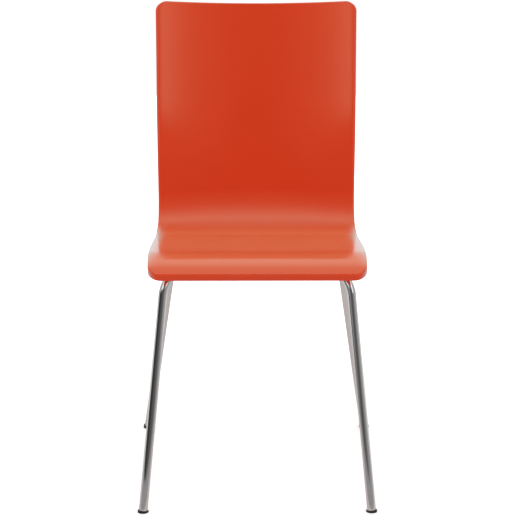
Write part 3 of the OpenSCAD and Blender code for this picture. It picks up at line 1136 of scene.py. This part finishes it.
# %% [markdown]
# ## Orange lacquer on plywood
#
# Three thin coats of coloured lacquer hide the wood but not its surface. Under
# the satin gloss the grain still shows as the faintest relief, along the sheet,
# and the cut edge shows its veneers as fine steps. The lacquer itself dries with
# a very slight orange peel. All of this follows the flat sheet, so we read the
# place that was noted on each point.

# %% Relief of the lacquer
VENEERS = 11
GRAIN_STRETCH = (420.0, 9.0, 420.0)


def weighted_sum(tree, parts):
    """Adds up values that are given with their weights."""
    total = 0.0
    for value, weight in parts:
        total = math_node(tree, "MULTIPLY_ADD", value, weight, total)
    return total


def bumped(tree, height, strength, depth):
    """Normal that follows a height; depth is how far it goes in metres."""
    inputs = {"Height": height, "Strength": strength, "Distance": depth}
    return add_node(tree, "Bump", inputs).outputs["Normal"]


def lacquer_relief(tree, sheet, rub_marks):
    """Normal from the wood's grain, the lacquer's peel, the veneers' ends and wear."""
    long_way = stretched(tree, sheet, GRAIN_STRETCH)
    grain = noise(tree, long_way, scale=1.0, detail=4.0, distortion=0.4)
    peel = noise(tree, sheet, scale=260.0, detail=1.0)
    through = axes(tree, sheet)["Z"]
    turns = product(tree, through, 2 * math.pi * VENEERS / SHELL_T)
    ends = math_node(tree, "SINE", turns)
    height = weighted_sum(tree, [(grain, 0.5), (peel, 0.5), (ends, 0.35), (rub_marks, -0.15)])
    return bumped(tree, height, strength=0.06, depth=0.03 * MM)


print("each veneer is", round(SHELL_T / VENEERS / MM, 2), "mm thick")

# %% [markdown]
# Seen aslant, the colour is painted paler: a painted sheen on top of the real
# gloss. The cut edge drinks the lacquer, so it is matt and keeps its full colour,
# without the painted sheen. Along the sides of the seat, the gloss mirrors the
# pale room beside the back, and that reflection is painted into the colour as a
# grey, which shows only when we look along the seat. Seen square on, the gloss is
# a little cooler than the room, which a tint on the specular gives.

# %% Masks of the lacquer
# Each pair says where a mask starts and where it is full.
ON_FACE = (HALF_T - 1.5 * MM, HALF_T - 0.2 * MM)
# Where the painted sheen starts and is full, by how aslant the view is.
PAINTED_SHEEN_ASLANT = (0.1, 0.7)
# The next three place the painted reflection of the pale room in the seat's sides.
WALL_REFLECTION_ASLANT = (0.3, 0.85)
WALL_REFLECTION_ACROSS = (172 * MM, 200 * MM)
WALL_REFLECTION_ALONG = (S_BACK, mix(S_BEND, S_BACK, 0.3))


def face_mask(tree, sheet):
    """1 on both faces of the sheet and 0 on its cut edge."""
    return fade(tree, math_node(tree, "ABSOLUTE", axes(tree, sheet)["Z"]), *ON_FACE)


def painted_reflection_mask(tree, sheet, aslant):
    """Painted wall reflection in the seat's sides, as far as the view is aslant."""
    place = axes(tree, sheet)
    at_side = fade(tree, math_node(tree, "ABSOLUTE", place["X"]), *WALL_REFLECTION_ACROSS)
    on_seat = fade(tree, place["Y"], *WALL_REFLECTION_ALONG, kind="LINEAR")
    grazing = fade(tree, aslant, *WALL_REFLECTION_ASLANT, kind="LINEAR")
    return product(tree, at_side, on_seat, grazing)


print("the haze ends", round(WALL_REFLECTION_ALONG[0], 3), "m along the sheet")

# %% Lacquer
LACQUER_ORANGE = (0.69, 0.039, 0.0065, 1.0)
# Painted sheen: the paler colour the lacquer gets where the view is aslant.
LACQUER_PAINTED_SHEEN = (0.82, 0.15, 0.056, 1.0)
# Painted reflection: the grey of the pale room, mirrored in the sides of the seat.
PAINTED_WALL_REFLECTION = (0.62, 0.56, 0.54, 1.0)
COOL_GLOSS = (0.5, 1.0, 0.65, 1.0)
LACQUER_IOR = 1.52
EDGE_MATT = 0.6


def blend(tree, factor, a, b):
    made = add_node(tree, "Mix", {"Factor": factor, "A": a, "B": b}, data_type="RGBA")
    return made.outputs["Result"]


def lacquer_material():
    material, tree, shader = new_material("orange lacquer")
    sheet = add_node(tree, "Attribute", attribute_name="sheet").outputs["Vector"]
    aslant = add_node(tree, "LayerWeight", {"Blend": 0.5}).outputs["Facing"]
    on_face = face_mask(tree, sheet)
    cut_edge = math_node(tree, "SUBTRACT", 1.0, on_face)
    # painted sheen: the colour turns paler where the view is aslant, but not on the cut edge
    paler = product(tree, fade(tree, aslant, *PAINTED_SHEEN_ASLANT), on_face)
    colour = drifting(tree, sheet, LACQUER_ORANGE, scale=7.0, amount=0.05)
    colour = blend(tree, paler, colour, LACQUER_PAINTED_SHEEN)
    # painted reflection of the pale room along the sides of the seat
    colour = blend(tree, painted_reflection_mask(tree, sheet, aslant), colour, PAINTED_WALL_REFLECTION)
    wear = worn(tree, sheet, roughness=0.16, swing=0.04, scale=14.0)
    matt = math_node(tree, "MULTIPLY_ADD", cut_edge, EDGE_MATT, wear["Roughness"])
    set_inputs(tree, shader, {
        "Base Color": colour,
        "Roughness": matt,
        "Normal": lacquer_relief(tree, sheet, wear["Height"]),
        "IOR": LACQUER_IOR,
        "Specular Tint": COOL_GLOSS,
    })
    return material


dress(lacquer_material(), shell)

# %% [markdown]
# ## Chrome
#
# Chrome is a metal with almost no colour of its own, so what we see in it is the
# room. Its base colour is a grey of about 0.55, and its roughness is small but
# not nothing: polishing leaves haze, and near the floor it is dulled by scuffs.

# %% Chrome
CHROME_GREY = (0.56, 0.55, 0.545, 1.0)
SCUFF_GREY = (0.32, 0.31, 0.30, 1.0)
SCUFF_MATT = 0.35


def chrome_material(name, roughness, scuffs):
    material, tree, shader = new_material(name)
    place = add_node(tree, "TexCoord").outputs["Object"]
    colour = drifting(tree, place, CHROME_GREY, scale=11.0, amount=0.06)
    wear = worn(tree, place, roughness, swing=0.03, scale=40.0)
    mask = scuffed(tree, place, scuffs)
    set_inputs(tree, shader, {
        "Base Color": blend(tree, mask, colour, SCUFF_GREY),
        "Roughness": math_node(tree, "MULTIPLY_ADD", mask, SCUFF_MATT, wear["Roughness"]),
        "Normal": bumped(tree, wear["Height"], strength=0.12, depth=0.01 * MM),
        "Metallic": 1.0,
    })
    return material


dress(chrome_material("tube chrome", roughness=0.09, scuffs=0.4), front_tube, rear_tube)
dress(chrome_material("plate chrome", roughness=0.17, scuffs=0.0), plate, welds)

# %% [markdown]
# ## Zinc
#
# Bolts, washers and inserts are zinc plated. Zinc looks like chrome that has lost
# its shine: a duller grey with soft blotches and a clearly higher roughness. The
# inserts sit hidden in the shell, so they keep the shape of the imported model.

# %% Zinc
ZINC_GREY = (0.52, 0.53, 0.49, 1.0)


def zinc_material():
    material, tree, shader = new_material("zinc plate")
    place = add_node(tree, "TexCoord").outputs["Object"]
    wear = worn(tree, place, roughness=0.36, swing=0.2, scale=500.0)
    set_inputs(tree, shader, {
        "Base Color": drifting(tree, place, ZINC_GREY, scale=350.0, amount=0.3),
        "Roughness": wear["Roughness"],
        "Normal": bumped(tree, wear["Height"], strength=0.3, depth=0.02 * MM),
        "Metallic": 1.0,
    })
    return material


dress(zinc_material(), bolts, washers, frame["nodes"]["threaded_inserts"])

# %% [markdown]
# ## Black plastic and fibre
#
# Moulded plastic takes the fine grain of its mould. Feet are smoother than pads
# and carry grey scuffs. The gasket is pressed fibre, which is nearly black too,
# but matt, and its grain is finer and deeper than that of a mould.

# %% Moulded grain
def build_moulded_grain():
    group, enter, leave = new_group(
        "Moulded grain", {"Vector": "Vector", "Size": "Float"}, {"Height": "Float"}
    )
    scale = math_node(group, "DIVIDE", 1.0, enter["Size"])
    cells = {"Vector": enter["Vector"], "Scale": scale}
    cells = add_node(group, "TexVoronoi", cells, feature="SMOOTH_F1").outputs["Distance"]
    crumbs = noise(group, enter["Vector"], scale, detail=3.0)
    group.links.new(weighted_sum(group, [(cells, 1.0), (crumbs, 0.6)]), leave["Height"])
    return group


moulded_grain = build_moulded_grain()

# %% Plastic and fibre
BLACK = (0.014, 0.013, 0.012, 1.0)
DUST = (0.16, 0.15, 0.14, 1.0)
PLASTIC_SHINE = 0.25


def plastic_material(name, grain_size, grain_depth, roughness, scuffs):
    material, tree, shader = new_material(name)
    place = add_node(tree, "TexCoord").outputs["Object"]
    colour = drifting(tree, place, BLACK, scale=120.0, amount=0.5)
    wear = worn(tree, place, roughness, swing=0.2, scale=200.0)
    grain = use_group(tree, moulded_grain, {"Vector": place, "Size": grain_size})["Height"]
    height = weighted_sum(tree, [(grain, 1.0), (wear["Height"], -0.4)])
    set_inputs(tree, shader, {
        "Base Color": blend(tree, scuffed(tree, place, scuffs), colour, DUST),
        "Roughness": wear["Roughness"],
        "Normal": bumped(tree, height, strength=0.6, depth=grain_depth),
        "Specular IOR Level": PLASTIC_SHINE,
    })
    return material


dress(plastic_material("pad plastic", 0.7 * MM, 0.06 * MM, roughness=0.55, scuffs=0.0), *pads)
dress(plastic_material("foot plastic", 0.4 * MM, 0.02 * MM, roughness=0.5, scuffs=0.06), *feet)
dress(plastic_material("pressed fibre", 0.3 * MM, 0.08 * MM, roughness=0.85, scuffs=0.0), gasket)

# %% [markdown]
# ## The studio
#
# The chair stands on a white sweep. To the camera the sweep is pure white, while
# the lamps stay at a plain level, so that the lacquer shows its own colour. A
# part of the same white is added for reflections, or chrome would mirror a grey
# floor. Close to the chair the sweep glows less, so that the chair keeps a faint
# shadow at its feet.

# %% Flat stage pieces
FLOOR_REACH = 6.0


def flat_stage(name, x0, x1, y0, y1, z, material):
    mesh = bpy.data.meshes.new(name)
    corners = [(x0, y0, z), (x1, y0, z), (x1, y1, z), (x0, y1, z)]
    mesh.from_pydata(corners, [], [(0, 1, 2, 3)])
    mesh.materials.append(material)
    made = bpy.data.objects.new(name, mesh)
    bpy.context.scene.collection.objects.link(made)
    print(name, "is", round(x1 - x0, 2), "by", round(y1 - y0, 2), "m")
    return made


def bare_material(name):
    """Material without any node, returned with its tree."""
    material = bpy.data.materials.new(name)
    material.use_nodes = True
    material.node_tree.nodes.clear()
    return material, material.node_tree


def grey(level):
    return (level, level, level, 1.0)


# %% Floor
PAPER = 0.8
FLOOR_GLOW = 0.44
GLOW_REACH = (0.5, 1.3)
MIRROR_GLOW = 0.32


def seen_directly_or_mirrored(tree):
    """1 for a ray from the camera, a part for one from a mirror or glass, else 0."""
    path = add_node(tree, "LightPath").outputs
    bounced = math_node(tree, "MAXIMUM", path["Is Glossy Ray"], path["Is Transmission Ray"])
    return math_node(
        tree, "MAXIMUM", path["Is Camera Ray"], product(tree, bounced, MIRROR_GLOW)
    )


def length_of(tree, vector):
    return add_node(tree, "VectorMath", {0: vector}, operation="LENGTH").outputs["Value"]


def floor_material():
    material, tree = bare_material("white sweep")
    paper = add_node(tree, "BsdfDiffuse", {"Color": grey(PAPER)})
    away = length_of(tree, add_node(tree, "TexCoord").outputs["Object"])
    level = fade(tree, away, *GLOW_REACH, low=FLOOR_GLOW)
    level = product(tree, seen_directly_or_mirrored(tree), level)
    glow = add_node(tree, "Emission", {"Color": grey(1.0), "Strength": level})
    both = add_node(tree, "AddShader", {0: paper.outputs[0], 1: glow.outputs[0]})
    add_node(tree, "OutputMaterial", {"Surface": both.outputs[0]})
    return material


flat_stage(
    "floor", -FLOOR_REACH, FLOOR_REACH, -FLOOR_REACH, FLOOR_REACH, 0.0, floor_material()
)

# %% [markdown]
# Chrome without something dark to reflect looks like paper. In front of the chair
# lies a dark cloth, darkest straight ahead and paler close by and to the sides,
# and a black card stands to the left. Both are seen by mirrors only.

# %% Darkness by bearing
AHEAD_LEVELS = [
    (0.0, 0.62), (0.17, 0.5), (0.33, 0.25), (0.44, 0.12), (0.5, 0.14), (0.58, 0.17),
    (0.67, 0.3), (0.78, 0.5), (1.0, 0.62),
]


def ramp(tree, value, stops):
    """Grey level for a value from 0 to 1, by pairs of value and level."""
    made = add_node(tree, "ValToRGB", {"Fac": value})
    keys = made.color_ramp.elements
    while len(keys) < len(stops):
        keys.new(0.5)
    for key, (place, level) in zip(keys, stops):
        key.position = place
        key.color = grey(level)
    return made.outputs["Color"]


def front_dusk(tree, x, y):
    """Darkness in front of the chair, by the bearing from the chair to (x, y)."""
    bearing = math_node(tree, "ARCTAN2", x, product(tree, y, -1.0))
    share = math_node(tree, "MULTIPLY_ADD", bearing, 1 / math.pi, 0.5)
    return ramp(tree, share, AHEAD_LEVELS)


print("the darkest level ahead is", min(level for place, level in AHEAD_LEVELS))

# %% Dark cloth and card
CLOTH_EDGE_Y = -0.27
CLOTH_Z = 2 * MM
CLOTH_NEAR = 0.45
NEAR_REACH = (-0.8, -0.5)
CARD_LEVEL = 0.06
CARD_SIZE = (1.0, 0.45)
CARD_PLACE = (-1.245, -0.384, 0.04)


def glow_with(tree, colour):
    light = add_node(tree, "Emission", {"Color": colour, "Strength": 1.0})
    add_node(tree, "OutputMaterial", {"Surface": light.outputs[0]})


def cloth_material():
    material, tree = bare_material("dark cloth")
    place = axes(tree, add_node(tree, "TexCoord").outputs["Object"])
    dusk = front_dusk(tree, place["X"], place["Y"])
    near = fade(tree, place["Y"], *NEAR_REACH)
    glow_with(tree, blend(tree, near, dusk, grey(CLOTH_NEAR)))
    return material


def card_material():
    material, tree = bare_material("black card")
    glow_with(tree, grey(CARD_LEVEL))
    return material


cloth = flat_stage(
    "dark_cloth", -FLOOR_REACH, FLOOR_REACH, -FLOOR_REACH, CLOTH_EDGE_Y, CLOTH_Z, cloth_material()
)
card = flat_stage("black_card", 0, CARD_SIZE[0], 0, CARD_SIZE[1], 0, card_material())
card.location = CARD_PLACE
card.rotation_euler = (QUARTER, 0, 0)
for made in (cloth, card):
    made.visible_camera = False
    made.visible_diffuse = False
    made.visible_shadow = False

# %% [markdown]
# ## Light
#
# Two wide, low softboxes stand in front on either side, and a small one on the
# floor plays the reflector that lifts the underside of the seat. Most light comes
# from the world, which has two faces. Matt surfaces receive an even fill. Glossy
# ones mirror a room: a dark place round the camera, a bright arch overhead and a
# pale wall behind.

# %% Lamps
SEAT_SPOT = (0, 0, 0.5)


def softbox(name, place, width, height, watts):
    """Area lamp that points at the seat and isn't seen in mirrors."""
    data = bpy.data.lights.new(name, "AREA")
    data.shape = "RECTANGLE"
    data.size = width
    data.size_y = height
    data.energy = watts
    lamp = bpy.data.objects.new(name, data)
    lamp.location = place
    aim = Vector(SEAT_SPOT) - Vector(place)
    lamp.rotation_euler = aim.to_track_quat("-Z", "Y").to_euler()
    lamp.visible_camera = False
    lamp.visible_glossy = False
    bpy.context.scene.collection.objects.link(lamp)
    print(name, "at", place)


softbox("front left", (-2.2, -2.4, 1.0), width=1.6, height=1.6, watts=11.0)
softbox("front right", (2.2, -2.4, 1.0), width=1.6, height=1.6, watts=11.0)
softbox("under the seat", (0, 0.14, 0.03), width=0.35, height=0.3, watts=2.0)

# %% The room that gloss mirrors
ROOM_FRONT = [
    (0.0, 0.02), (0.12, 0.03), (0.17, 0.15), (0.3, 0.42), (0.38, 0.7), (0.445, 1.3),
    (0.5, 2.4), (0.6, 1.6), (1.0, 1.5),
]
ROOM_BACK = [(0.0, 2.4), (0.19, 1.4), (0.42, 1.5), (0.55, 1.95), (0.75, 1.6), (1.0, 1.0)]
ROOM_SIDES = 0.65
# How fast the room grows bright sideways and upward from the dark camera place.
DARK_SQUEEZE = (0.85, 0.0, 0.5)
# Each of these pairs is where one part of the room fades into the next.
SIDES_REACH = (0.62, 0.85)
TO_THE_BACK = (-0.05, 0.05)
TO_THE_FRONT = (0.0, -0.15)
TO_THE_FLOOR = (0.2, 0.1)


def mirrored_room(tree):
    """What shines in lacquer and chrome, by the direction it is seen in."""
    way = add_node(tree, "TexCoord").outputs["Generated"]
    x, y, z = axes(tree, way)
    off_camera = length_of(tree, stretched(tree, way, DARK_SQUEEZE))
    front = ramp(tree, off_camera, ROOM_FRONT)
    room = blend(tree, fade(tree, y, *TO_THE_BACK), front, ramp(tree, y, ROOM_BACK))
    aside = fade(tree, math_node(tree, "ABSOLUTE", x), *SIDES_REACH)
    room = blend(tree, aside, room, grey(ROOM_SIDES))
    low, ahead = fade(tree, z, *TO_THE_FLOOR), fade(tree, y, *TO_THE_FRONT)
    return blend(tree, product(tree, low, ahead), room, front_dusk(tree, x, y))


print("its brightest arch has a level of", max(level for place, level in ROOM_FRONT))

# %% World
WORLD_FILL = 0.90
WORLD_TOP = 0.78


def background(tree, colour, strength=1.0):
    return add_node(tree, "Background", {"Color": colour, "Strength": strength}).outputs[0]


def build_world():
    world = bpy.data.worlds.new("studio")
    bpy.context.scene.world = world
    world.use_nodes = True
    tree = world.node_tree
    tree.nodes.clear()
    height = axes(tree, add_node(tree, "TexCoord").outputs["Generated"])["Z"]
    level = fade(tree, height, 0.0, 1.0, WORLD_FILL, WORLD_TOP, kind="LINEAR")
    fill = background(tree, grey(1.0), level)
    room = background(tree, mirrored_room(tree))
    path = add_node(tree, "LightPath").outputs
    lit = add_node(tree, "MixShader", {0: path["Is Glossy Ray"], 1: fill, 2: room}).outputs[0]
    white = background(tree, grey(1.0))
    seen = add_node(tree, "MixShader", {0: path["Is Camera Ray"], 1: lit, 2: white})
    add_node(tree, "OutputWorld", {"Surface": seen.outputs[0]})
    print("the world's fill goes from", WORLD_FILL, "to", WORLD_TOP)


build_world()
bpy.context.scene.view_settings.view_transform = "Standard"
